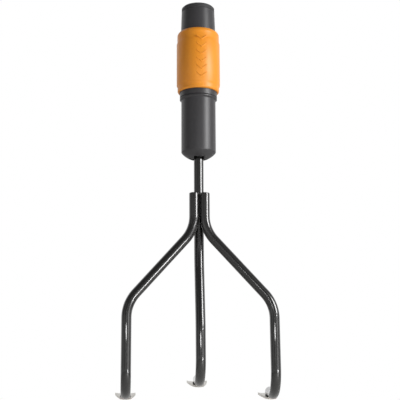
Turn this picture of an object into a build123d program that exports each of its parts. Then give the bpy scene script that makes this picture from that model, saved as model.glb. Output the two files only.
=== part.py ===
"""Hand cultivator head: a quick-release socket, a sprung sleeve and three steel tines with blades.

Millimetres. The origin is on the bore's axis where its wall starts, just inside the rim of the
mouth. +Z points out of the mouth towards the handle, -Y is the side that the tines bow towards and
+Y is where the blades point.
"""

from build123d import *
from math import cos, radians, sin, sqrt, tan
import os

os.makedirs("parts", exist_ok=True)

# Socket body
bore_radius = 13.5
bore_depth = 96.0
bore_lead_in = 0.8
stub_step = 1.2
stub_taper = 0.9
stub_length = 27.9
stub_edge = 1.6
guide_land_length = 13.3
floor_thickness = 4.2
spigot_step = 3.9
spigot_length = 8.0
bumper_height = 5.0
bumper_thickness = 1.8
cut_overlap = 1.0

# Locking balls
ball_radius = 3.25
ball_drop = 22.1
ball_protrusion = 1.5
ball_cover = 1.65
ball_angles = (90.0, 210.0, 330.0)
ball_names = ("locking_ball_back", "locking_ball_left", "locking_ball_right")
ball_clearance = 0.25
ball_release_gap = 0.05
ball_groove_depth = 0.4
ball_groove_half_height = 4.0
ball_seat_lip = 0.15
ball_seat_depth = 0.8

# Release sleeve
sleeve_foot_gap = 5.9
sleeve_travel = 8.0
sleeve_wall = 1.6
sleeve_grip_rise = 0.7
sleeve_foot_step = 0.2
sleeve_band_length = 12.2
sleeve_foot_length = 7.0
sleeve_shoulder_drop = 4.6
sleeve_top_rim = 0.4
shoulder_arc_in = 0.22
shoulder_arc_down = 0.42
sleeve_step_half = 1.0
sleeve_guide_length = 5.0
sleeve_clearance = 0.3
sleeve_foot_round = 2.4
sleeve_foot_rim = 0.25
foot_arc_in = 0.25
foot_arc_up = 0.36
land_length = 5.0
key_width = 3.0
key_height = 3.6
key_depth = 1.1
key_clearance = 0.3
key_drop = 1.2

# Return spring, its seat and its clip
wire_radius = 0.9
spring_inner_gap = 0.65
spring_outer_gap = 0.4
spring_turns = 7
spring_end_gap = 0.1
seat_thickness = 1.2
seat_gap = 0.35
clip_rise = 2.5
clip_thickness = 1.5
clip_groove_depth = 1.2
clip_height = 1.7
clip_gap = 6.0
running_clearance = 0.05

# Stop ring
ring_gap = 0.4
ring_height = 7.0
ring_edge = 0.5

# Lower housing
housing_step = 1.55
housing_length = 66.5
housing_shoulder = 3.0
housing_rim_drop = 8.3
housing_rim_round = 1.6
housing_wall = 5.4
housing_rib = 3.0
housing_hub_wall = 4.0
housing_core_gap = 0.2
rim_search = 0.1
housing_foot = 17.0
slot_reach_past_rod = 4.5
slot_width = 4.0
slot_depth = 14.0
slot_front_gap = 0.3
slot_clearance = 0.15
key_bar_height = 9.0

# Clamp screw and drive pin
screw_radius = 3.0
screw_length = 35.0
screw_head_radius = 5.0
screw_head_height = 6.0
screw_socket_width = 5.0
screw_socket_depth = 3.0
screw_hole_clearance = 0.3
washer_radius = 6.0
washer_thickness = 1.6
drive_pin_radius = 2.5
drive_pin_rise = 13.0
drive_pin_edge = 0.4
drive_pin_recess = 0.6

# Tines
tine_radius = 5.0
side_tine_drop = 35.9
cluster_side_gap = 0.9
cluster_rod_gap = 0.013
spread_bend_drop = 74.1
spread = 72.5
splay_angle = 41.56
bend_radius = 37.0
side_bow = 20.0
side_lean = 4.0
centre_bend_drop = 103.3
centre_bow = 16.0
centre_bow_drop = 168.3
centre_lean = 3.0
centre_bend_radius = 90.0
side_bottom_drop = 241.2
centre_bottom_drop = 228.8
elbow_radius = 22.0
blade_rise = 8.0
side_run_out = 22.0
centre_run_out = 20.0
tine_end_edge = 1.0

# Blades
blade_thickness = 2.0
blade_half_width = 10.3
blade_neck_margin = 0.2
blade_lap = 9.0
blade_wing = 13.0
blade_point = 34.0
blade_dish = 2.6
blade_swell = 1.3

# Weld beads
cluster_bead_radius = 2.6
cluster_bead_length = 20.0
cluster_bead_start = 3.4
blade_bead_radius = 1.7
blade_bead_out = 3.4
blade_bead_length = 7.5
bead_sink = 0.6

# Values worked out from the ones above
bore_floor = -bore_depth
body_bottom = bore_floor - floor_thickness
ball_centre_radius = bore_radius - ball_protrusion + ball_radius
ball_travel = ball_protrusion + ball_release_gap
ball_seat_radius = ball_radius - ball_seat_lip
barrel_radius = ball_centre_radius + ball_cover
stub_base_radius = barrel_radius + stub_step
stub_top_radius = stub_base_radius - stub_taper
spigot_radius = barrel_radius - spigot_step
bumper_seat_radius = stub_top_radius - bumper_thickness
sleeve_top = -stub_length
ball_level = sleeve_top - ball_drop
spring_radius = barrel_radius + spring_inner_gap + wire_radius
sleeve_chamber_radius = spring_radius + wire_radius + spring_outer_gap
seat_radius = sleeve_chamber_radius - seat_gap
ring_radius = sleeve_chamber_radius - ring_gap
housing_radius = ring_radius - housing_step
clip_level = body_bottom + ring_height + clip_rise
clip_groove_radius = barrel_radius - clip_groove_depth
clip_radius = barrel_radius + clip_height
drive_pin_level = bore_floor + drive_pin_rise
rod_top = body_bottom - spigot_length
housing_bottom = body_bottom - housing_length
sleeve_bottom = body_bottom + sleeve_foot_gap
guide_land_end = -stub_length - guide_land_length
land_radius = ball_centre_radius + ball_radius + ball_clearance
recess_radius = land_radius + ball_travel
sleeve_band_radius = recess_radius + sleeve_wall
sleeve_grip_radius = sleeve_band_radius + sleeve_grip_rise
sleeve_foot_radius = sleeve_band_radius - sleeve_foot_step
sleeve_guide_radius = stub_base_radius + sleeve_clearance
sleeve_shoulder_inset = sleeve_band_radius - sleeve_guide_radius - sleeve_top_rim
sleeve_foot_inset = sleeve_foot_radius - sleeve_chamber_radius - sleeve_foot_rim
ramp_start = ball_level - ball_clearance
ramp_end = ramp_start + sleeve_travel
land_end = ramp_start - land_length
seat_top = clip_level + clip_thickness + seat_thickness
spring_bottom = seat_top + wire_radius
spring_top = land_end - wire_radius - spring_end_gap
ball_hole_radius = ball_radius + ball_clearance
bumper_foot_radius = stub_top_radius + (stub_base_radius - stub_top_radius) * bumper_height / stub_length
keyway_top = sleeve_top - key_drop + key_clearance
keyway_length = key_height + sleeve_travel + 2 * key_clearance
slot_length = 2 * (tine_radius + slot_reach_past_rod)
slot_front_width = 2 * (tine_radius + slot_front_gap)
side_tine_top = housing_bottom - side_tine_drop
cluster_half_spread = tine_radius + cluster_side_gap / 2
cluster_forward = sqrt((2 * tine_radius + cluster_rod_gap) ** 2 - cluster_half_spread**2)
spread_bend_level = housing_bottom - spread_bend_drop
centre_bend_level = housing_bottom - centre_bend_drop
centre_bow_level = housing_bottom - centre_bow_drop
side_bottom = housing_bottom - side_bottom_drop
centre_bottom = housing_bottom - centre_bottom_drop
blade_neck_half_width = tine_radius + blade_neck_margin


def radial_plane(angle, radius, height):
    """A plane whose Z points out from the tool's axis."""
    out = Vector(cos(radians(angle)), sin(radians(angle)), 0)
    return Plane(origin=(out.X * radius, out.Y * radius, height), z_dir=out)


def save(piece, name):
    piece.part.label = name
    export_step(piece.part, "parts/" + name + ".step")


# Socket body: stub, guide land, barrel with the ball holes, floor and spigot
with BuildPart() as socket_body:
    with BuildSketch(Plane.XZ):
        with BuildLine():
            Polyline(
                (bore_radius, 0),
                (bore_radius + bore_lead_in, bore_lead_in),
                (bumper_seat_radius, bore_lead_in),
                (bumper_seat_radius, -bumper_height),
                (bumper_foot_radius, -bumper_height),
                (stub_base_radius, -stub_length),
                (stub_base_radius, guide_land_end),
                (barrel_radius, guide_land_end - (stub_base_radius - barrel_radius)),
                (barrel_radius, body_bottom),
                (spigot_radius, body_bottom),
                (spigot_radius, rod_top),
                (screw_radius + screw_hole_clearance, rod_top),
                (screw_radius + screw_hole_clearance, bore_floor),
                (bore_radius, bore_floor),
                (bore_radius, ball_level - ball_groove_half_height),
                (bore_radius + ball_groove_depth, ball_level - ball_groove_half_height + ball_groove_depth),
                (bore_radius + ball_groove_depth, ball_level + ball_groove_half_height - ball_groove_depth),
                (bore_radius, ball_level + ball_groove_half_height),
                close=True,
            )
        make_face()
    revolve(axis=Axis.Z)
    with BuildSketch(Plane.XY.offset(clip_level)):
        Circle(barrel_radius + cut_overlap)
        Circle(clip_groove_radius, mode=Mode.SUBTRACT)
    extrude(amount=clip_thickness, mode=Mode.SUBTRACT)
    for angle in ball_angles:
        seat_start = bore_radius + ball_groove_depth
        with Locations(radial_plane(angle, seat_start, ball_level)):
            Cone(
                ball_seat_radius,
                ball_hole_radius,
                ball_seat_depth,
                align=(Align.CENTER, Align.CENTER, Align.MIN),
                mode=Mode.SUBTRACT,
            )
        with Locations(radial_plane(angle, seat_start + ball_seat_depth, ball_level)):
            Cylinder(
                ball_hole_radius,
                barrel_radius,
                align=(Align.CENTER, Align.CENTER, Align.MIN),
                mode=Mode.SUBTRACT,
            )
        with Locations(radial_plane(angle, bore_radius - cut_overlap, ball_level)):
            Cylinder(
                ball_seat_radius,
                ball_groove_depth + cut_overlap,
                align=(Align.CENTER, Align.CENTER, Align.MIN),
                mode=Mode.SUBTRACT,
            )
    keyway_depth = key_depth + key_clearance - sleeve_clearance
    for side in (-1, 1):
        with Locations((side * stub_base_radius, 0, keyway_top)):
            Box(
                2 * (keyway_depth + key_clearance),
                key_width + 2 * key_clearance,
                keyway_length,
                align=(Align.CENTER, Align.CENTER, Align.MAX),
                mode=Mode.SUBTRACT,
            )
    pin_hole_length = 2 * (barrel_radius + cut_overlap)
    with Locations((0, 0, drive_pin_level)):
        Cylinder(drive_pin_radius, pin_hole_length, rotation=(0, 90, 0), mode=Mode.SUBTRACT)
save(socket_body, "socket_body")

# Bumper ring: the soft ring snapped round the mouth's rim
with BuildPart() as bumper_ring:
    with BuildSketch(Plane.XZ):
        with BuildLine():
            Polyline(
                (bumper_seat_radius, bore_lead_in),
                (stub_top_radius - stub_edge, bore_lead_in),
                (stub_top_radius, bore_lead_in - stub_edge),
                (bumper_foot_radius, -bumper_height),
                (bumper_seat_radius, -bumper_height),
                close=True,
            )
        make_face()
    revolve(axis=Axis.Z)
save(bumper_ring, "bumper_ring")

# Release sleeve: pulled towards the tines to let the balls out
sleeve_grip_top = sleeve_top - sleeve_band_length
sleeve_grip_bottom = sleeve_bottom + sleeve_foot_length
with BuildPart() as release_sleeve:
    with BuildSketch(Plane.XZ):
        with BuildLine():
            Polyline(
                (sleeve_guide_radius, sleeve_top),
                (sleeve_band_radius - sleeve_shoulder_inset, sleeve_top),
            )
            ThreePointArc(
                (sleeve_band_radius - sleeve_shoulder_inset, sleeve_top),
                (
                    sleeve_band_radius - sleeve_shoulder_inset * shoulder_arc_in,
                    sleeve_top - sleeve_shoulder_drop * shoulder_arc_down,
                ),
                (sleeve_band_radius, sleeve_top - sleeve_shoulder_drop),
            )
            Polyline(
                (sleeve_band_radius, sleeve_top - sleeve_shoulder_drop),
                (sleeve_band_radius, sleeve_grip_top + sleeve_step_half),
                (sleeve_grip_radius, sleeve_grip_top - sleeve_step_half),
                (sleeve_grip_radius, sleeve_grip_bottom + sleeve_step_half),
                (sleeve_foot_radius, sleeve_grip_bottom - sleeve_step_half),
                (sleeve_foot_radius, sleeve_bottom + sleeve_foot_round),
            )
            ThreePointArc(
                (sleeve_foot_radius, sleeve_bottom + sleeve_foot_round),
                (
                    sleeve_foot_radius - sleeve_foot_inset * foot_arc_in,
                    sleeve_bottom + sleeve_foot_round * foot_arc_up,
                ),
                (sleeve_foot_radius - sleeve_foot_inset, sleeve_bottom),
            )
            Polyline(
                (sleeve_foot_radius - sleeve_foot_inset, sleeve_bottom),
                (sleeve_chamber_radius, sleeve_bottom),
                (sleeve_chamber_radius, land_end),
                (land_radius, land_end),
                (land_radius, ramp_start),
                (recess_radius, ramp_end),
                (recess_radius, sleeve_top - sleeve_guide_length - (recess_radius - sleeve_guide_radius)),
                (sleeve_guide_radius, sleeve_top - sleeve_guide_length),
                (sleeve_guide_radius, sleeve_top),
            )
        make_face()
    revolve(axis=Axis.Z)
    key_inner = sleeve_guide_radius - key_depth
    key_outer = sleeve_guide_radius + cut_overlap
    for side in (-1, 1):
        with Locations((side * (key_inner + key_outer) / 2, 0, sleeve_top - key_drop)):
            Box(
                key_outer - key_inner,
                key_width,
                key_height,
                align=(Align.CENTER, Align.CENTER, Align.MAX),
            )
save(release_sleeve, "release_sleeve")

# Locking balls: three, each with its own node because each moves its own way
for name, angle in zip(ball_names, ball_angles):
    with BuildPart() as locking_ball:
        with Locations(radial_plane(angle, ball_centre_radius, ball_level)):
            Sphere(ball_radius)
    save(locking_ball, name)

# Return spring: it pushes the sleeve back up
with BuildPart() as return_spring:
    with BuildLine() as coil:
        Helix(
            pitch=(spring_top - spring_bottom) / spring_turns,
            height=spring_top - spring_bottom,
            radius=spring_radius,
            center=(0, 0, spring_bottom),
        )
    with BuildSketch(Plane(origin=coil.line @ 0, z_dir=coil.line % 0)):
        Circle(wire_radius)
    sweep(path=coil.line, is_frenet=True)
save(return_spring, "return_spring")

# Spring seat and the clip that carries it
with BuildPart() as spring_seat:
    with BuildSketch(Plane.XY.offset(clip_level + clip_thickness)):
        Circle(seat_radius)
        Circle(barrel_radius + running_clearance, mode=Mode.SUBTRACT)
    extrude(amount=seat_thickness)
save(spring_seat, "spring_seat")

with BuildPart() as retaining_clip:
    with BuildSketch(Plane.XY.offset(clip_level)):
        Circle(clip_radius)
        Circle(clip_groove_radius, mode=Mode.SUBTRACT)
        with Locations((0, clip_radius)):
            Rectangle(clip_gap, 2 * clip_radius - clip_groove_radius, mode=Mode.SUBTRACT)
    extrude(amount=clip_thickness)
save(retaining_clip, "retaining_clip")

# Drive pin: crosses the bore and keeps the handle's slotted end from turning
with BuildPart() as drive_pin:
    with Locations((0, 0, drive_pin_level)):
        Cylinder(drive_pin_radius, 2 * (barrel_radius - drive_pin_recess), rotation=(0, 90, 0))
    chamfer(drive_pin.edges().filter_by(GeomType.CIRCLE), drive_pin_edge)
save(drive_pin, "drive_pin")

# Stop ring: closes the sleeve's foot and carries the joint line above the housing
with BuildPart() as stop_ring:
    with BuildSketch(Plane.XZ):
        with BuildLine():
            Polyline(
                (barrel_radius, body_bottom),
                (ring_radius - ring_edge, body_bottom),
                (ring_radius, body_bottom + ring_edge),
                (ring_radius, body_bottom + ring_height - ring_edge),
                (ring_radius - ring_edge, body_bottom + ring_height),
                (barrel_radius, body_bottom + ring_height),
                close=True,
            )
        make_face()
    revolve(axis=Axis.Z)
save(stop_ring, "stop_ring")

# Lower housing: cored from above with four ribs, slotted below round the rod
housing_core_top = rod_top - housing_core_gap
housing_core_bottom = housing_bottom + housing_foot
housing_rim = housing_bottom + housing_rim_drop
dome_radius = (housing_radius**2 + housing_rim_drop**2) / (2 * housing_rim_drop)
slot_reach = housing_bottom + slot_depth
with BuildPart() as lower_housing:
    with BuildSketch(Plane.XZ):
        with BuildLine():
            Polyline(
                (housing_radius, housing_rim),
                (housing_radius, body_bottom - housing_shoulder),
                (ring_radius, body_bottom - housing_shoulder / 2),
                (ring_radius, body_bottom - ring_edge),
                (ring_radius - ring_edge, body_bottom),
                (0, body_bottom),
                (0, housing_bottom),
            )
            RadiusArc((0, housing_bottom), (housing_radius, housing_rim), -dome_radius)
        make_face()
    revolve(axis=Axis.Z)
    rim_bounds = (housing_rim - rim_search, housing_rim + rim_search)
    rim_edge = lower_housing.edges().filter_by_position(Axis.Z, *rim_bounds)
    fillet(rim_edge, housing_rim_round)
    with BuildSketch(Plane.XY.offset(body_bottom)):
        Circle(spigot_radius + running_clearance)
    extrude(amount=housing_core_top - body_bottom, mode=Mode.SUBTRACT)
    with BuildSketch(Plane.XY.offset(housing_core_bottom)):
        Circle(housing_radius - housing_wall)
        Circle(tine_radius + housing_hub_wall, mode=Mode.SUBTRACT)
        Rectangle(2 * housing_radius, housing_rib, mode=Mode.SUBTRACT)
        Rectangle(housing_rib, 2 * housing_radius, mode=Mode.SUBTRACT)
    extrude(amount=housing_core_top - housing_core_bottom, mode=Mode.SUBTRACT)
    with BuildSketch(Plane.XY.offset(housing_bottom)):
        Circle(tine_radius + running_clearance)
    extrude(amount=housing_length, mode=Mode.SUBTRACT)
    with BuildSketch(Plane.XY.offset(housing_bottom)):
        Rectangle(slot_length, slot_width)
        Rectangle(slot_front_width, slot_length)
    extrude(amount=slot_depth, mode=Mode.SUBTRACT)
save(lower_housing, "lower_housing")

# Clamp screw and washer: they draw the rod and the housing up against the socket's floor
screw_seat = bore_floor + washer_thickness
screw_end = screw_seat - screw_length
with BuildPart() as clamp_screw:
    with BuildSketch(Plane.XY.offset(screw_end)):
        Circle(screw_radius)
    extrude(amount=screw_length)
    with BuildSketch(Plane.XY.offset(screw_seat)):
        Circle(screw_head_radius)
    extrude(amount=screw_head_height)
    with BuildSketch(Plane.XY.offset(screw_seat + screw_head_height)):
        RegularPolygon(screw_socket_width / 2, 6, major_radius=False)
    extrude(amount=-screw_socket_depth, mode=Mode.SUBTRACT)
save(clamp_screw, "clamp_screw")

with BuildPart() as screw_washer:
    with BuildSketch(Plane.XY.offset(bore_floor)):
        Circle(washer_radius)
        Circle(screw_radius + screw_hole_clearance, mode=Mode.SUBTRACT)
    extrude(amount=washer_thickness)
save(screw_washer, "screw_washer")

# Cross key: a flat bar through the rod that sits in the housing's slot and stops it turning
key_bar_width = slot_width - 2 * slot_clearance
with BuildPart() as cross_key:
    with Locations((0, 0, slot_reach)):
        Box(
            slot_length - 2 * slot_clearance,
            key_bar_width,
            key_bar_height,
            align=(Align.CENTER, Align.CENTER, Align.MAX),
        )
save(cross_key, "cross_key")

# Tine paths. Each ends in an elbow whose lowest point is set, and a run that rises to the blade.
blade_run = Vector(0, cos(radians(blade_rise)), sin(radians(blade_rise)))
elbow_drop = elbow_radius * (tan(radians(blade_rise)) + 1 / cos(radians(blade_rise)) - 1)


def elbow_points(x, y, bottom, run_out):
    """The elbow's corner and the rod's end, for a leg that comes straight down at (x, y)."""
    corner = Vector(x, y, bottom + tine_radius - elbow_drop)
    turn = radians(90 + blade_rise)
    return corner, corner + blade_run * (elbow_radius * tan(turn / 2) + run_out)


splay_drop = (spread - cluster_half_spread) / tan(radians(splay_angle))
side_y = -side_bow - side_lean


def side_path(side):
    corner, end = elbow_points(side * spread, side_y, side_bottom, side_run_out)
    return [
        Vector(side * cluster_half_spread, -cluster_forward, side_tine_top),
        Vector(side * cluster_half_spread, -cluster_forward, spread_bend_level),
        Vector(side * spread, -side_bow, spread_bend_level - splay_drop),
        corner,
        end,
    ]


def centre_path():
    corner, end = elbow_points(0, -centre_bow - centre_lean, centre_bottom, centre_run_out)
    return [
        Vector(0, 0, rod_top),
        Vector(0, 0, centre_bend_level),
        Vector(0, -centre_bow, centre_bow_level),
        corner,
        end,
    ]


def blade_plane(end):
    """A plane that touches the rod's underside at its end: Y runs out along the blade, Z is up."""
    up = Vector(0, -blade_run.Z, blade_run.Y)
    return Plane(origin=end - up * tine_radius, x_dir=(1, 0, 0), z_dir=up)


def section_plane(end, start):
    """A plane across the blade, start millimetres along it from the rod's end, with its Y down."""
    plane = blade_plane(end)
    return Plane(origin=plane.origin + blade_run * start, x_dir=(1, 0, 0), z_dir=blade_run)


# Side tines: flat-cut tops beside the rod, splayed out, then straight down to the elbow
side_ends = {}
for name, side in (("left", -1), ("right", 1)):
    points = side_path(side)
    side_ends[name] = points[-1]
    with BuildPart() as tine:
        with BuildLine() as route:
            FilletPolyline(*points, radius=[bend_radius, bend_radius, elbow_radius])
        with BuildSketch(Plane(origin=route.line @ 0, z_dir=route.line % 0)):
            Circle(tine_radius)
        sweep(path=route.line)
        fillet(tine.faces().sort_by(Axis.Z)[-1].edges(), tine_end_edge)
        fillet(tine.faces().sort_by_distance(points[-1])[0].edges(), tine_end_edge)
    save(tine, name + "_tine")

# Centre tine: the rod itself, from the tapped end inside the housing down to the blade
with BuildPart() as centre_tine:
    with BuildLine() as route:
        FilletPolyline(*centre_path(), radius=[centre_bend_radius, centre_bend_radius, elbow_radius])
    with BuildSketch(Plane(origin=route.line @ 0, z_dir=route.line % 0)):
        Circle(tine_radius)
    sweep(path=route.line)
    with BuildSketch(Plane.XY.offset(screw_end)):
        Circle(screw_radius)
    extrude(amount=rod_top - screw_end, mode=Mode.SUBTRACT)
    with Locations((0, 0, slot_reach)):
        Box(
            3 * tine_radius,
            key_bar_width,
            key_bar_height,
            align=(Align.CENTER, Align.CENTER, Align.MAX),
            mode=Mode.SUBTRACT,
        )
    fillet(centre_tine.faces().sort_by_distance(centre_path()[-1])[0].edges(), tine_end_edge)
save(centre_tine, "centre_tine")

# Cluster welds: a fillet bead each side, filling the valley between the rod and a side tine
bead_offset = Vector(-cluster_forward, -cluster_half_spread, 0).normalized() * (tine_radius - bead_sink)
with BuildPart() as cluster_welds:
    for side in (-1, 1):
        bead_x = side * (cluster_half_spread / 2 - bead_offset.X)
        bead_y = -cluster_forward / 2 - bead_offset.Y
        with BuildSketch(Plane.XY.offset(side_tine_top - cluster_bead_start)):
            with Locations((bead_x, bead_y)):
                Circle(cluster_bead_radius)
            Circle(tine_radius, mode=Mode.SUBTRACT)
            with Locations((side * cluster_half_spread, -cluster_forward)):
                Circle(tine_radius, mode=Mode.SUBTRACT)
        extrude(amount=-cluster_bead_length)
save(cluster_welds, "cluster_welds")

# Blades and their welds. A blade is a dished leaf lapped under the rod's end, with a bead each side.
blade_ends = {"left": side_ends["left"], "centre": centre_path()[-1], "right": side_ends["right"]}
dish_radius = (blade_half_width**2 + blade_dish**2) / (2 * blade_dish)
for name, end in blade_ends.items():
    shoulder_y = (blade_wing - blade_lap) / 2
    shoulder_x = (blade_neck_half_width + blade_half_width + blade_swell) / 2
    edge_y = (blade_wing + blade_point) / 2
    edge_x = blade_half_width / 2 + blade_swell
    with BuildPart() as blade:
        with BuildSketch(section_plane(end, -blade_lap)):
            with Locations((0, -dish_radius)):
                Circle(dish_radius + blade_thickness)
                Circle(dish_radius, mode=Mode.SUBTRACT)
        extrude(amount=blade_lap + blade_point)
        with BuildSketch(blade_plane(end).offset(-2 * blade_thickness)):
            with BuildLine():
                Line((-blade_neck_half_width, -blade_lap), (blade_neck_half_width, -blade_lap))
                for side in (-1, 1):
                    wing_tip = (side * blade_half_width, blade_wing)
                    ThreePointArc(
                        (side * blade_neck_half_width, -blade_lap),
                        (side * shoulder_x, shoulder_y),
                        wing_tip,
                    )
                    ThreePointArc(wing_tip, (side * edge_x, edge_y), (0, blade_point))
            make_face()
        extrude(amount=3 * blade_thickness + blade_dish, mode=Mode.INTERSECT)
    save(blade, name + "_blade")
    with BuildPart() as blade_weld:
        with BuildSketch(section_plane(end, -blade_lap + tine_end_edge / 2)):
            with Locations((-blade_bead_out, -bead_sink), (blade_bead_out, -bead_sink)):
                Circle(blade_bead_radius)
            with Locations((0, -tine_radius)):
                Circle(tine_radius, mode=Mode.SUBTRACT)
            with Locations((0, -dish_radius)):
                Circle(dish_radius, mode=Mode.INTERSECT)
        extrude(amount=blade_bead_length)
    save(blade_weld, name + "_blade_weld")
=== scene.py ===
import bpy
import bmesh
from math import cos, pi, radians, sin, tan
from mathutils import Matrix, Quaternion, Vector


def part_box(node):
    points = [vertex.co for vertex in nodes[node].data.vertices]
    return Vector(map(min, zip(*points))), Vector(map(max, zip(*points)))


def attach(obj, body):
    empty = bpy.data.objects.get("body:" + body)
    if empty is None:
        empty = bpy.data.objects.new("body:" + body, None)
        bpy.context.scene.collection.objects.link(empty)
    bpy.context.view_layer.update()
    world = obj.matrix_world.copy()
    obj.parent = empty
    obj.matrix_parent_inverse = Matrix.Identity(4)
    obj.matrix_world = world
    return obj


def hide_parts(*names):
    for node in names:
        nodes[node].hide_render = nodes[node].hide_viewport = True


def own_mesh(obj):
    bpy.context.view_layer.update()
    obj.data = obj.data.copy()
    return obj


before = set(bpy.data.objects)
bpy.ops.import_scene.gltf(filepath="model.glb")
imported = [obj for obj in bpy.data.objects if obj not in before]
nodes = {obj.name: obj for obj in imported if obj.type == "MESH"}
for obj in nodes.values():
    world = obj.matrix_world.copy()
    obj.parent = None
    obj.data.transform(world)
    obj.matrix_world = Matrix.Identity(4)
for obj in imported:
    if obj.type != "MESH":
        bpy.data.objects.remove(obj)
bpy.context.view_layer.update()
mm = 0.001
print("frame loaded:", len(nodes), "CAD nodes")


# ---- small helpers ----

def linear(hexColour):
    # sRGB hex to the linear colour that shaders take
    out = []
    for i in (1, 3, 5):
        c = int(hexColour[i:i + 2], 16) / 255
        out.append(c / 12.92 if c <= 0.04045 else ((c + 0.055) / 1.055) ** 2.4)
    return (*out, 1.0)


def addNode(tree, kind, settings=None, links=None):
    # one node, its values and what feeds it; a number as a key is a socket's place in the list
    node = tree.nodes.new(kind)
    for key, value in (settings or {}).items():
        if isinstance(key, str) and hasattr(node, key):
            setattr(node, key, value)
        else:
            node.inputs[key].default_value = value
    for key, source in (links or {}).items():
        tree.links.new(source, node.inputs[key])
    return node


def mathNode(tree, operation, *terms):
    # each term is a number or the socket that gives it
    settings, links = {"operation": operation}, {}
    for i, term in enumerate(terms):
        if isinstance(term, (int, float)):
            settings[i] = term
        else:
            links[i] = term
    return addNode(tree, "ShaderNodeMath", settings, links).outputs[0]


def joinNode(tree, **parts):
    # a vector from the sockets given as x, y and z; the rest are zero
    places = {"x": 0, "y": 1, "z": 2}
    links = {places[axis]: socket for axis, socket in parts.items()}
    return addNode(tree, "ShaderNodeCombineXYZ", None, links).outputs[0]


def noiseNode(tree, place, sizeMm, detail, roughness=0.5):
    # noise with features of about this size
    settings = {"Scale": 1 / (sizeMm * mm), "Detail": detail, "Roughness": roughness}
    return addNode(tree, "ShaderNodeTexNoise", settings, {"Vector": place}).outputs["Fac"]


def glossNode(tree, value, shiniest, dullest, fromMin=0.0, fromMax=1.0):
    settings = {"From Min": fromMin, "From Max": fromMax, "To Min": shiniest, "To Max": dullest}
    return addNode(tree, "ShaderNodeMapRange", settings, {"Value": value}).outputs[0]


def bumpNode(tree, height, strength, depthMm, under=None):
    # a bump, laid over another one where under is given
    links = {"Height": height}
    if under is not None:
        links["Normal"] = under
    settings = {"Strength": strength, "Distance": depthMm * mm}
    return addNode(tree, "ShaderNodeBump", settings, links).outputs[0]


def newMaterial(name):
    material = bpy.data.materials.new(name)
    material.use_nodes = True
    material.node_tree.nodes.clear()
    place = addNode(material.node_tree, "ShaderNodeTexCoord").outputs["Object"]
    return material, material.node_tree, place


def blendTones(tree, factor, dark, light):
    # the Mix node's colour sockets are the seventh and eighth in its list
    settings = {"data_type": "RGBA", 6: linear(dark), 7: linear(light)}
    return addNode(tree, "ShaderNodeMix", settings, {0: factor}).outputs[2]


def finishMaterial(tree, shader):
    addNode(tree, "ShaderNodeOutputMaterial", None, {"Surface": shader.outputs[0]})


# ---- materials ----

nylon = {
    "dark": "#302f31",
    "light": "#3b3a3c",
    "roughness": 0.40,
    "ior": 1.53,
    "grainMm": 0.55,  # spark-eroded grain is about 0.1 mm, drawn coarser so that it shows
    "grainDepthMm": 0.035,
    "mottleMm": 15.0,
}
acetal = {
    "dark": "#e0861a",
    "light": "#ea982c",
    "roughness": 0.40,
    "ior": 1.48,
    "grainMm": 0.5,  # as the nylon's grain, a little finer
    "grainDepthMm": 0.025,
    "mottleMm": 18.0,
}
elastomer = {
    "dark": "#2c2b2d",
    "light": "#373638",
    "roughness": 0.62,
    "ior": 1.50,
    "grainMm": 0.35,  # a fine vapour-blasted finish, drawn coarser
    "grainDepthMm": 0.02,
    "mottleMm": 8.0,
}
powderCoat = {
    "dark": "#0d0c0c",
    "light": "#151413",
    "ior": 1.52,
    "roughness": 0.30,
    "coat": 1.0,
    "coatRoughness": 0.03,
    "peelMm": 3.2,  # orange peel, the long soft waves of a coat that flowed before it set
    "peelDepthMm": 0.004,
    "dustMm": 0.8,  # specks under the coat, drawn a little large
    "dustDepthMm": 0.0006,
}
weldCoat = dict(
    powderCoat, dark="#121110", light="#1d1b1a", roughness=0.4, peelDepthMm=0.02, peelMm=1.4
)
groundSteel = {
    "dark": "#a9a59f",
    "light": "#d8d5cf",
    "rough": (0.24, 0.46),
    "scratchMm": 0.6,  # grit 120 scratches are about 0.15 mm apart, drawn coarser
    "scratchLengthMm": 14.0,
    "scratchDepthMm": 0.02,
    "stainMm": 6.0,
}
zincPlate = dict(
    groundSteel, dark="#9fa4a8", light="#c9cdd0", rough=(0.3, 0.42), scratchLengthMm=1.2, stainMm=2.5
)
drawnSteel = dict(
    groundSteel, dark="#6f6f72", light="#98989b", rough=(0.22, 0.34), scratchLengthMm=3.0
)
hardSteel = dict(
    groundSteel, dark="#cfcfd1", light="#e2e2e3", rough=(0.05, 0.11), scratchDepthMm=0.001
)
plasticMix = {"grain": 0.45, "mottle": 0.6, "shinier": 0.06, "duller": 0.08, "bump": 0.5}
paintMix = {"shinier": 0.04, "duller": 0.06}
steelMix = {"stainFrom": 0.3, "stainTo": 0.7, "bump": 0.6}


def mouldedPlastic(name, dark, light, roughness, ior, grainMm, grainDepthMm, mottleMm):
    # Injection moulded in a spark-eroded mould: one even colour, dull, with a broad soft sheen
    material, tree, place = newMaterial(name)
    grain = noiseNode(tree, place, grainMm, 2.0, 0.6)
    mottle = noiseNode(tree, place, mottleMm, 3.0)
    fine = mathNode(tree, "MULTIPLY_ADD", grain, plasticMix["grain"], 0.0)
    tone = mathNode(tree, "MULTIPLY_ADD", mottle, plasticMix["mottle"], fine)
    shiniest, dullest = roughness - plasticMix["shinier"], roughness + plasticMix["duller"]
    shader = addNode(tree, "ShaderNodeBsdfPrincipled", {"IOR": ior}, {
        "Base Color": blendTones(tree, tone, dark, light),
        "Roughness": glossNode(tree, grain, shiniest, dullest),
        "Normal": bumpNode(tree, grain, plasticMix["bump"], grainDepthMm),
    })
    finishMaterial(tree, shader)
    return material


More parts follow.
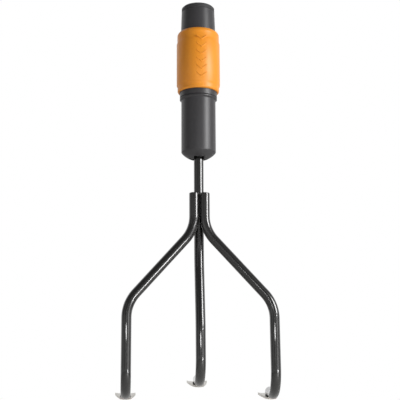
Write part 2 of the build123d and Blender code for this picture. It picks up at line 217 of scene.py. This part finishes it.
def bakedPowderCoat(
    name, dark, light, ior, roughness, coat, coatRoughness, peelMm, peelDepthMm, dustMm, dustDepthMm
):
    # Epoxy powder, sprayed and baked: deep black, wet-looking, with slow waves in its reflections
    material, tree, place = newMaterial(name)
    peel = noiseNode(tree, place, peelMm, 1.0)
    dust = noiseNode(tree, place, dustMm, 2.0)
    wave = bumpNode(tree, peel, 1.0, peelDepthMm)
    shiniest, dullest = roughness - paintMix["shinier"], roughness + paintMix["duller"]
    settings = {"IOR": ior, "Coat Weight": coat, "Coat Roughness": coatRoughness}
    shader = addNode(tree, "ShaderNodeBsdfPrincipled", settings, {
        "Base Color": blendTones(tree, peel, dark, light),
        "Roughness": glossNode(tree, dust, shiniest, dullest),
        "Normal": bumpNode(tree, dust, 1.0, dustDepthMm, wave),
        "Coat Normal": wave,
    })
    finishMaterial(tree, shader)
    return material


def bareSteel(name, dark, light, rough, scratchMm, scratchLengthMm, scratchDepthMm, stainMm):
    # Steel with its last working left on it: scratches one way, and soft cloudy stains in its gloss
    material, tree, place = newMaterial(name)
    stretch = (1 / (scratchMm * mm), 1 / (scratchLengthMm * mm), 1 / (scratchMm * mm))
    along = addNode(tree, "ShaderNodeMapping", {"Scale": stretch}, {"Vector": place}).outputs[0]
    scratch = addNode(tree, "ShaderNodeTexNoise", {"Scale": 1.0, "Detail": 3.0}, {"Vector": along})
    scratch = scratch.outputs["Fac"]
    stain = noiseNode(tree, place, stainMm, 4.0)
    shader = addNode(tree, "ShaderNodeBsdfPrincipled", {"Metallic": 1.0}, {
        "Base Color": blendTones(tree, scratch, dark, light),
        "Roughness": glossNode(tree, stain, *rough, steelMix["stainFrom"], steelMix["stainTo"]),
        "Normal": bumpNode(tree, scratch, steelMix["bump"], scratchDepthMm),
    })
    finishMaterial(tree, shader)
    return material


finishes = {
    "housing_plastic": mouldedPlastic("greyGlassFilledNylon", **nylon),
    "sleeve_plastic": mouldedPlastic("orangeMouldedAcetal", **acetal),
    "bumper_rubber": mouldedPlastic("blackMouldedElastomer", **elastomer),
    "tine_paint": bakedPowderCoat("blackEpoxyPowderCoat", **powderCoat),
    "weld_paint": bakedPowderCoat("powderCoatOverWeld", **weldCoat),
    "blade_steel": bareSteel("groundSpringSteel", **groundSteel),
    "zinc_steel": bareSteel("brightZincPlate", **zincPlate),
    "spring_steel": bareSteel("drawnSpringWire", **drawnSteel),
    "ball_steel": bareSteel("lappedBearingSteel", **hardSteel),
}
print("materials made:", len(finishes))

# ---- pieces that keep their CAD shape ----

sharpAngle = radians(32)  # edges that turn by more stay crisp
weldGap = 0.00001  # corners of loose triangles nearer than this are one
rimGap = weldGap * 10  # points this near the widest are on the rim


def shadeByAngle(mesh):
    mesh.shade_smooth()
    mesh.set_sharp_from_angle(angle=sharpAngle)


def breakFootEdge(work, rise, inset):
    # cuts the lowest outer edge back by a small bevel, which shows as a fine dark line at a joint
    lowest = min(v.co.z for v in work.verts)
    everything = work.verts[:] + work.edges[:] + work.faces[:]
    bmesh.ops.bisect_plane(work, geom=everything, dist=weldGap, plane_co=(0, 0, lowest + rise * mm),
                           plane_no=(0, 0, 1))
    widest = max(v.co.xy.length for v in work.verts if v.co.z < lowest + weldGap)
    for v in work.verts:
        if v.co.z < lowest + weldGap and v.co.xy.length > widest - rimGap:
            v.co.xy *= 1 - inset * mm / widest


def smoothCopy(name, node, body, slot, footEdge=None):
    # a merged copy of a CAD node, so that its rounds shade smoothly
    mesh = nodes[node].data.copy()
    work = bmesh.new()
    work.from_mesh(mesh)
    bmesh.ops.remove_doubles(work, verts=work.verts, dist=weldGap)
    bmesh.ops.dissolve_degenerate(work, edges=work.edges, dist=weldGap)
    if footEdge:
        breakFootEdge(work, *footEdge)
    work.to_mesh(mesh)
    work.free()
    if mesh.has_custom_normals:
        mesh.attributes.remove(mesh.attributes["custom_normal"])
    shadeByAngle(mesh)
    mesh.materials.clear()
    mesh.materials.append(finishes[slot])
    piece = bpy.data.objects.new(name, mesh)
    bpy.context.scene.collection.objects.link(piece)
    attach(piece, body)
    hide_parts(node)
    return piece


keptShapes = (
    ("socketBody", "socket_body", "head", "housing_plastic"),
    ("mouthBumper", "bumper_ring", "head", "bumper_rubber", (0.9, 0.7)),
    ("releaseSleeve", "release_sleeve", "sleeve", "sleeve_plastic"),
    ("sleeveStopRing", "stop_ring", "head", "housing_plastic", (0.7, 0.35)),
    ("lowerHousing", "lower_housing", "head", "housing_plastic"),
    ("lockingBallBack", "locking_ball_back", "ball_back", "ball_steel"),
    ("lockingBallLeft", "locking_ball_left", "ball_left", "ball_steel"),
    ("lockingBallRight", "locking_ball_right", "ball_right", "ball_steel"),
    ("springSeat", "spring_seat", "head", "zinc_steel"),
    ("retainingClip", "retaining_clip", "head", "spring_steel"),
    ("drivePin", "drive_pin", "head", "zinc_steel"),
    ("clampScrew", "clamp_screw", "head", "zinc_steel"),
    ("screwWasher", "screw_washer", "head", "zinc_steel"),
    ("crossKey", "cross_key", "head", "zinc_steel"),
    ("leftBlade", "left_blade", "head", "blade_steel"),
    ("centreBlade", "centre_blade", "head", "blade_steel"),
    ("rightBlade", "right_blade", "head", "blade_steel"),
)
for row in keptShapes:
    smoothCopy(*row)

# the return spring stands on its seat, as a smoothed copy with a mesh of its own
returnSpring = smoothCopy("returnSpring", "return_spring", "head", "spring_steel")
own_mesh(returnSpring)
print("kept shapes done:", len(keptShapes) + 1)


# ---- geometry node trees ----

def startTree(name, inputs):
    # a tree with its named inputs; it returns the tree and what its input node gives
    tree = bpy.data.node_groups.new(name, "GeometryNodeTree")
    tree.interface.new_socket("Geometry", in_out="INPUT", socket_type="NodeSocketGeometry")
    for label, kind in inputs.items():
        tree.interface.new_socket(label, in_out="INPUT", socket_type="NodeSocket" + kind)
    tree.interface.new_socket("Geometry", in_out="OUTPUT", socket_type="NodeSocketGeometry")
    return tree, addNode(tree, "NodeGroupInput").outputs


def endTree(tree, geometry, material):
    real = addNode(tree, "GeometryNodeRealizeInstances", None, {0: geometry})
    smooth = addNode(tree, "GeometryNodeSetShadeSmooth", None, {0: real.outputs[0]})
    painted = addNode(tree, "GeometryNodeSetMaterial", None,
                      {"Geometry": smooth.outputs[0], "Material": material})
    addNode(tree, "NodeGroupOutput", None, {0: painted.outputs[0]})


def pathMesh(name, paths, radii=None):
    # open runs of edges, each through its own corners, with a bend radius at each corner
    mesh = bpy.data.meshes.new(name)
    points, edges = [], []
    for path in paths:
        start = len(points)
        points += path
        edges += [(start + i, start + i + 1) for i in range(len(path) - 1)]
    mesh.from_pydata(points, edges, [])
    if radii:
        mesh.attributes.new("bendRadius", "FLOAT", "POINT").data.foreach_set("value", radii)
    return mesh


def growPiece(name, tree, seed, values, body, slot, *replaced):
    # runs a tree on a seed mesh, keeps the plain mesh that it gives, and hands it to the frame
    piece = bpy.data.objects.new(name, seed)
    bpy.context.scene.collection.objects.link(piece)
    modifier = piece.modifiers.new("grow", "NODES")
    modifier.node_group = tree
    sockets = {s.name: s.identifier for s in tree.interface.items_tree if s.in_out == "INPUT"}
    for label, value in dict(values, Material=finishes[slot]).items():
        modifier[sockets[label]] = value
    bpy.context.view_layer.update()
    grown = piece.evaluated_get(bpy.context.evaluated_depsgraph_get())
    mesh = bpy.data.meshes.new_from_object(grown)
    piece.modifiers.clear()
    piece.data = mesh
    mesh.name = name
    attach(piece, body)
    if replaced:
        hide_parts(*replaced)
    return piece


# ---- tines: round bar bent at its corners, with softened ends ----

tineSizes = {
    "radius": 5.0,
    "endRound": 1.0,
    "ringStep": 0.5,
    "sides": 44,
    "bendSteps": 40,
    "rodTop": -108.2,
    "sideTop": -202.6,
    "clusterAcross": 5.45,
    "clusterForward": 8.4,
    "splayLevel": -240.8,
    "splayAngle": 41.56,
    "spread": 72.5,
    "sideBow": 20.0,
    "sideLean": 4.0,
    "sideLowest": -407.9,
    "sideRunOut": 22.0,
    "sideBend": 37.0,
    "centreBendLevel": -270.0,
    "centreBow": 16.0,
    "centreLean": 3.0,
    "centreBowLevel": -335.0,
    "centreLowest": -395.5,
    "centreRunOut": 20.0,
    "centreBend": 90.0,
    "elbow": 22.0,
    "bladeRise": 8.0,
}
t = tineSizes
rise = radians(t["bladeRise"])
bladeRun = Vector((0, cos(rise), sin(rise)))
elbowDrop = t["elbow"] * (tan(rise) + 1 / cos(rise) - 1)


def elbowPoints(x, y, lowest, runOut):
    # the corner under a leg at (x, y), and the bar's end where the blade is lapped
    corner = Vector((x, y, lowest + t["radius"] - elbowDrop))
    return [corner, corner + bladeRun * (t["elbow"] * tan(pi / 4 + rise / 2) + runOut)]


def sideRoute(side):
    across = side * t["clusterAcross"]
    drop = (t["spread"] - t["clusterAcross"]) / tan(radians(t["splayAngle"]))
    return [
        Vector((across, -t["clusterForward"], t["sideTop"])),
        Vector((across, -t["clusterForward"], t["splayLevel"])),
        Vector((side * t["spread"], -t["sideBow"], t["splayLevel"] - drop)),
    ] + elbowPoints(
        side * t["spread"], -t["sideBow"] - t["sideLean"], t["sideLowest"], t["sideRunOut"]
    )


centreRoute = [
    Vector((0, 0, t["rodTop"])),
    Vector((0, 0, t["centreBendLevel"])),
    Vector((0, -t["centreBow"], t["centreBowLevel"])),
] + elbowPoints(0, -t["centreBow"] - t["centreLean"], t["centreLowest"], t["centreRunOut"])

barInputs = {
    "Radius": "Float",
    "End round": "Float",
    "Ring step": "Float",
    "Sides": "Int",
    "Material": "Material",
}
barTree, size = startTree("bentBar", barInputs)
line = addNode(barTree, "GeometryNodeMeshToCurve", None, {0: size["Geometry"]})
bend = addNode(barTree, "GeometryNodeInputNamedAttribute",
               {"data_type": "FLOAT", "Name": "bendRadius"})
bent = addNode(barTree, "GeometryNodeFilletCurve",
               {"mode": "POLY", "Count": t["bendSteps"], "Limit Radius": True},
               {"Curve": line.outputs[0], "Radius": bend.outputs["Attribute"]})
even = addNode(barTree, "GeometryNodeResampleCurve", {"mode": "LENGTH"},
               {"Curve": bent.outputs[0], "Length": size["Ring step"]})
# near either end the bar narrows along a quarter circle
travelled = addNode(barTree, "GeometryNodeSplineParameter").outputs["Length"]
whole = addNode(barTree, "GeometryNodeSplineLength").outputs["Length"]
nearEnd = mathNode(barTree, "MINIMUM", travelled, mathNode(barTree, "SUBTRACT", whole, travelled))
inRound = mathNode(barTree, "MINIMUM", nearEnd, size["End round"])
left = mathNode(barTree, "SUBTRACT", size["End round"], inRound)
leftSquare = mathNode(barTree, "MULTIPLY", left, left)
roundSquare = mathNode(barTree, "MULTIPLY", size["End round"], size["End round"])
height = mathNode(barTree, "SQRT", mathNode(barTree, "SUBTRACT", roundSquare, leftSquare))
core = mathNode(barTree, "SUBTRACT", size["Radius"], size["End round"])
thick = mathNode(barTree, "ADD", core, height)
sized = addNode(barTree, "GeometryNodeSetCurveRadius", None,
                {"Curve": even.outputs[0], "Radius": thick})
circle = addNode(barTree, "GeometryNodeCurvePrimitiveCircle", {"Radius": 1.0},
                 {"Resolution": size["Sides"]})
barRadius = addNode(barTree, "GeometryNodeInputRadius").outputs[0]
swept = addNode(barTree, "GeometryNodeCurveToMesh", {"Fill Caps": True}, {
    "Curve": sized.outputs[0],
    "Profile Curve": circle.outputs[0],
    "Scale": barRadius,
})
endTree(barTree, swept.outputs[0], size["Material"])

barValues = {
    "Radius": t["radius"] * mm,
    "End round": t["endRound"] * mm,
    "Ring step": t["ringStep"] * mm,
    "Sides": t["sides"],
}
routes = {
    "left": (sideRoute(-1), t["sideBend"]),
    "centre": (centreRoute, t["centreBend"]),
    "right": (sideRoute(1), t["sideBend"]),
}
for name, (route, bendRadius) in routes.items():
    radii = [0, bendRadius * mm, bendRadius * mm, t["elbow"] * mm, 0]
    seed = pathMesh(name + "TineRoute", [[p * mm for p in route]], radii)
    tine = growPiece(name + "Tine", barTree, seed, barValues, "head", "tine_paint", name + "_tine")
    shadeByAngle(tine.data)
    low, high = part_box(name + "_tine")
    points = [v.co for v in tine.data.vertices]
    off = 0
    for k in range(3):
        along = [p[k] for p in points]
        off = max(off, abs(min(along) - low[k]), abs(max(along) - high[k]))
    print(name, "tine:", len(tine.data.polygons), "faces, off the frame by", round(off / mm, 3), "mm")

# ---- weld beads: overlapping ripples along each joint ----

beadSizes = {
    "clusterAcross": 6.45,
    "clusterBack": 1.75,
    "clusterRadius": 2.5,
    "bladeAcross": 3.6,
    "bladeRadius": 1.75,
    "bladeRaise": 0.75,
    "ripplePitch": 0.42,  # times the bead's radius
    "rippleThickness": 0.62,  # likewise
    "tilt": 24.0,
    "unevenness": 0.06,
    "segments": 16,
    "rings": 9,
    "clusterSeed": 3,
    "firstBladeSeed": 11,
}
b = beadSizes
beadInputs = {
    "Radius": "Float",
    "Pitch": "Float",
    "Thickness": "Float",
    "Tilt": "Float",
    "Unevenness": "Float",
    "Seed": "Int",
    "Material": "Material",
}
beadTree, size = startTree("rippledBead", beadInputs)
line = addNode(beadTree, "GeometryNodeMeshToCurve", None, {0: size["Geometry"]})
step = mathNode(beadTree, "MULTIPLY", size["Radius"], size["Pitch"])
spots = addNode(beadTree, "GeometryNodeCurveToPoints", {"mode": "LENGTH"},
                {"Curve": line.outputs[0], "Length": step})
ripple = addNode(beadTree, "GeometryNodeMeshUVSphere",
                 {"Segments": b["segments"], "Rings": b["rings"]}, {"Radius": size["Radius"]})
least = mathNode(beadTree, "SUBTRACT", 1.0, size["Unevenness"])
most = mathNode(beadTree, "ADD", 1.0, size["Unevenness"])
chance = addNode(beadTree, "FunctionNodeRandomValue", {"data_type": "FLOAT"},
                 {2: least, 3: most, "Seed": size["Seed"]}).outputs[1]
shape = joinNode(beadTree, x=chance, y=chance, z=size["Thickness"])
row = addNode(beadTree, "GeometryNodeInstanceOnPoints", None,
              {"Points": spots.outputs["Points"], "Instance": ripple.outputs[0],
               "Rotation": spots.outputs["Rotation"], "Scale": shape})
leaning = joinNode(beadTree, x=size["Tilt"])
tilted = addNode(beadTree, "GeometryNodeRotateInstances", None,
                 {"Instances": row.outputs[0], "Rotation": leaning})
endTree(beadTree, tilted.outputs[0], size["Material"])

beadValues = {
    "Pitch": b["ripplePitch"],
    "Thickness": b["rippleThickness"],
    "Tilt": radians(b["tilt"]),
    "Unevenness": b["unevenness"],
}
low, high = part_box("cluster_welds")
beadEnd = b["clusterRadius"] * mm * b["rippleThickness"]
paths = []
for side in (-1, 1):
    x, y = side * b["clusterAcross"] * mm, -b["clusterBack"] * mm
    paths.append([Vector((x, y, high.z - beadEnd)), Vector((x, y, low.z + beadEnd))])
values = dict(beadValues, Radius=b["clusterRadius"] * mm, Seed=b["clusterSeed"])
clusterBeads = growPiece("clusterWeldBeads", beadTree, pathMesh("clusterBeadRoutes", paths),
                         values, "head", "weld_paint", "cluster_welds")

for seedNumber, name in enumerate(routes, b["firstBladeSeed"]):
    low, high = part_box(name + "_blade_weld")
    middle = (low.x + high.x) / 2
    length = (high.y - low.y) / cos(rise) - 2 * b["bladeRadius"] * mm * b["rippleThickness"]
    centre = Vector((0, (low.y + high.y) / 2, (low.z + high.z) / 2 + b["bladeRaise"] * mm))
    paths = []
    for side in (-1, 1):
        at = centre + Vector((middle + side * b["bladeAcross"] * mm, 0, 0))
        paths.append([at - bladeRun * length / 2, at + bladeRun * length / 2])
    values = dict(beadValues, Radius=b["bladeRadius"] * mm, Seed=seedNumber)
    growPiece(name + "BladeWeldBeads", beadTree, pathMesh(name + "BeadRoutes", paths),
              values, "head", "weld_paint", name + "_blade_weld")
print("weld beads done: cluster has", len(clusterBeads.data.polygons), "faces")

# ---- raised chevrons on the sleeve, pointing the way it slides ----

chevronSizes = {
    "count": 6,
    "pitch": 8.0,
    "halfWidth": 5.2,
    "drop": 4.2,
    "ridge": 0.8,
    "firstBelowTop": 14.5,
    "sink": 0.25,
    "turn": 5.0,
    "points": 17,
    "ridgeSides": 12,
}
c = chevronSizes
chevronInputs = {
    "Count": "Int",
    "Pitch": "Float",
    "Half width": "Float",
    "Drop": "Float",
    "Ridge": "Float",
    "Wrap radius": "Float",
    "First level": "Float",
    "Turn": "Float",
    "Material": "Material",
}
chevronTree, size = startTree("chevronRow", chevronInputs)
# one flat chevron, from a straight line two units long
stretch = addNode(chevronTree, "GeometryNodeMeshLine",
                  {"mode": "OFFSET", "Count": c["points"], "Offset": (2 / (c["points"] - 1), 0, 0)})
unit = addNode(chevronTree, "GeometryNodeInputPosition").outputs[0]
unitX = addNode(chevronTree, "ShaderNodeSeparateXYZ", None, {0: unit}).outputs[0]
centred = mathNode(chevronTree, "SUBTRACT", unitX, 1.0)
across = mathNode(chevronTree, "MULTIPLY", centred, size["Half width"])
rising = mathNode(chevronTree, "MULTIPLY", mathNode(chevronTree, "ABSOLUTE", centred), size["Drop"])
oneVee = addNode(chevronTree, "GeometryNodeSetPosition", None,
                 {"Geometry": stretch.outputs[0], "Position": joinNode(chevronTree, x=across, z=rising)})
# a flat column of them, from the first level down
down = mathNode(chevronTree, "MULTIPLY", size["Pitch"], -1.0)
spots = addNode(chevronTree, "GeometryNodeMeshLine", {"mode": "OFFSET"}, {
    "Count": size["Count"],
    "Start Location": joinNode(chevronTree, z=size["First level"]),
    "Offset": joinNode(chevronTree, z=down),
})
column = addNode(chevronTree, "GeometryNodeInstanceOnPoints", None,
                 {"Points": spots.outputs[0], "Instance": oneVee.outputs[0]})
flat = addNode(chevronTree, "GeometryNodeRealizeInstances", None, {0: column.outputs[0]})
# wrapped round the sleeve
place = addNode(chevronTree, "GeometryNodeInputPosition").outputs[0]
parts = addNode(chevronTree, "ShaderNodeSeparateXYZ", None, {0: place}).outputs
arc = mathNode(chevronTree, "DIVIDE", parts[0], size["Wrap radius"])
angle = mathNode(chevronTree, "ADD", arc, size["Turn"])
wrapX = mathNode(chevronTree, "MULTIPLY", mathNode(chevronTree, "SINE", angle), size["Wrap radius"])
front = mathNode(chevronTree, "MULTIPLY", mathNode(chevronTree, "COSINE", angle), size["Wrap radius"])
wrapY = mathNode(chevronTree, "MULTIPLY", front, -1.0)
wrapped = addNode(chevronTree, "GeometryNodeSetPosition", None, {
    "Geometry": flat.outputs[0],
    "Position": joinNode(chevronTree, x=wrapX, y=wrapY, z=parts[2]),
})
line = addNode(chevronTree, "GeometryNodeMeshToCurve", None, {0: wrapped.outputs[0]})
circle = addNode(chevronTree, "GeometryNodeCurvePrimitiveCircle", {"Resolution": c["ridgeSides"]},
                 {"Radius": size["Ridge"]})
swept = addNode(chevronTree, "GeometryNodeCurveToMesh", {"Fill Caps": True},
                {"Curve": line.outputs[0], "Profile Curve": circle.outputs[0]})
endTree(chevronTree, swept.outputs[0], size["Material"])

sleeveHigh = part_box("release_sleeve")[1]
gripRadius = sleeveHigh.x
for name, middle in (("frontChevrons", 0.0), ("backChevrons", pi)):
    growPiece(name, chevronTree, pathMesh(name + "Seed", []), {
        "Count": c["count"],
        "Pitch": c["pitch"] * mm,
        "Half width": c["halfWidth"] * mm,
        "Drop": c["drop"] * mm,
        "Ridge": c["ridge"] * mm,
        "Wrap radius": gripRadius - c["sink"] * mm,
        "First level": sleeveHigh.z - c["firstBelowTop"] * mm,
        "Turn": middle + radians(c["turn"]),
    }, "sleeve", "sleeve_plastic")
print("chevrons done")

# ---- camera ----

view = {
    "azimuth": -4.3,
    "elevation": -12.5,
    "distance": 1.050,
    "aimBelowMouth": 0.2082,
    "aimRight": 0.0012,
    "focal": 92.6,
    "roll": -0.27,
    "sensor": 36,
    "clip": (0.05, 50),
}
turn, lift = radians(view["azimuth"]), radians(view["elevation"])
back = Vector((sin(turn) * cos(lift), -cos(turn) * cos(lift), sin(lift)))
right = Vector((cos(turn), sin(turn), 0))
aim = Vector((0, 0, -view["aimBelowMouth"])) + right * view["aimRight"]
cameraData = bpy.data.cameras.new("studioCamera")
cameraData.lens = view["focal"]
cameraData.sensor_width = view["sensor"]
cameraData.clip_start, cameraData.clip_end = view["clip"]
camera = bpy.data.objects.new("studioCamera", cameraData)
camera.location = aim + back * view["distance"]
camera.rotation_mode = "QUATERNION"
rollTurn = Quaternion((0, 0, 1), radians(view["roll"]))
camera.rotation_quaternion = (-back).to_track_quat("-Z", "Y") @ rollTurn
bpy.context.scene.collection.objects.link(camera)
bpy.context.scene.camera = camera
bpy.context.scene.view_settings.view_transform = "Standard"

# ---- studio: floor, surroundings and lights ----

studio = {
    "floorLevel": -0.60,
    "floorSize": 6.0,
    "floorShade": "#efeeec",
    "floorColour": "#f1f0ee",
    "fibreScale": 900.0,
    "frontGlow": 0.135,
    "horizonGlow": 0.62,
    "backGlow": 0.95,
    "horizonTo": 0.26,  # how far up the sky the horizon's glow fades out
    "backFrom": 0.05,  # and how far back its brighter side starts and ends
    "backTo": 0.6,
    "roundUnder": 0.05,  # a lamp less tall than this is an ellipse
}
softboxes = {
    # turn right of the camera's direction, distance, middle height, width, height, power
    "tallStrip": (56.0, 1.10, 0.185, 0.24, 0.43, 6.2),
    "widePanel": (66.0, 1.20, 0.185, 0.56, 0.43, 3.6),
    "sideFill": (-48.0, 1.50, 0.10, 0.50, 0.90, 0.5),
    "lowStrip": (45.7, 0.97, -0.437, 0.15, 0.20, 2.6),
    "lowRightLamp": (52.0, 1.05, -0.115, 0.42, 0.030, 0.6),
    "lowFrontLamp": (1.0, 1.10, -0.150, 0.42, 0.032, 0.6),
}
floorMaterial, tree, place = newMaterial("palePaperSweep")
fibre = addNode(tree, "ShaderNodeTexNoise", {"Scale": studio["fibreScale"], "Detail": 2.0},
                {"Vector": place})
tone = blendTones(tree, fibre.outputs["Fac"], studio["floorShade"], studio["floorColour"])
paper = addNode(tree, "ShaderNodeBsdfPrincipled", {"Roughness": 0.85}, {"Base Color": tone})
finishMaterial(tree, paper)
half = studio["floorSize"] / 2
corners = [(x * half, y * half, studio["floorLevel"]) for x, y in ((-1, -1), (1, -1), (1, 1), (-1, 1))]
floorMesh = bpy.data.meshes.new("studioFloor")
floorMesh.from_pydata(corners, [], [(0, 1, 2, 3)])
floorMesh.materials.append(floorMaterial)
floor = bpy.data.objects.new("studioFloor", floorMesh)
bpy.context.scene.collection.objects.link(floor)

for name, (across, distance, level, width, tall, power) in softboxes.items():
    lampData = bpy.data.lights.new(name, "AREA")
    lampData.shape = "ELLIPSE" if tall < studio["roundUnder"] else "RECTANGLE"
    lampData.size = width
    lampData.size_y = tall
    lampData.energy = power
    lamp = bpy.data.objects.new(name, lampData)
    around = turn + radians(across)
    outwards = Vector((sin(around), -cos(around), 0))
    lamp.location = outwards * distance + Vector((0, 0, level))
    lamp.rotation_mode = "QUATERNION"
    lamp.rotation_quaternion = (-outwards).to_track_quat("-Z", "Y")
    lamp.visible_camera = False
    bpy.context.scene.collection.objects.link(lamp)

world = bpy.data.worlds.new("paleStudio")
bpy.context.scene.world = world
world.use_nodes = True
sky = world.node_tree
sky.nodes.clear()
direction = addNode(sky, "ShaderNodeTexCoord").outputs["Generated"]
toward = addNode(sky, "ShaderNodeSeparateXYZ", None, {0: direction}).outputs
low = addNode(sky, "ShaderNodeMapRange", {
    "From Min": 0.0,
    "From Max": studio["horizonTo"],
    "To Min": studio["horizonGlow"],
    "To Max": studio["frontGlow"],
}, {"Value": toward[2]})
glow = addNode(sky, "ShaderNodeMapRange", {
    "From Min": studio["backFrom"],
    "From Max": studio["backTo"],
    "To Max": studio["backGlow"],
}, {"Value": toward[1], "To Min": low.outputs[0]})
room = addNode(sky, "ShaderNodeBackground", {"Color": (1, 1, 1, 1)}, {"Strength": glow.outputs[0]})
backdrop = addNode(sky, "ShaderNodeBackground", {"Color": (1, 1, 1, 1), "Strength": 1.0})
cameraRay = addNode(sky, "ShaderNodeLightPath").outputs["Is Camera Ray"]
either = addNode(sky, "ShaderNodeMixShader", None,
                 {0: cameraRay, 1: room.outputs[0], 2: backdrop.outputs[0]})
addNode(sky, "ShaderNodeOutputWorld", None, {"Surface": either.outputs[0]})
print("studio done")
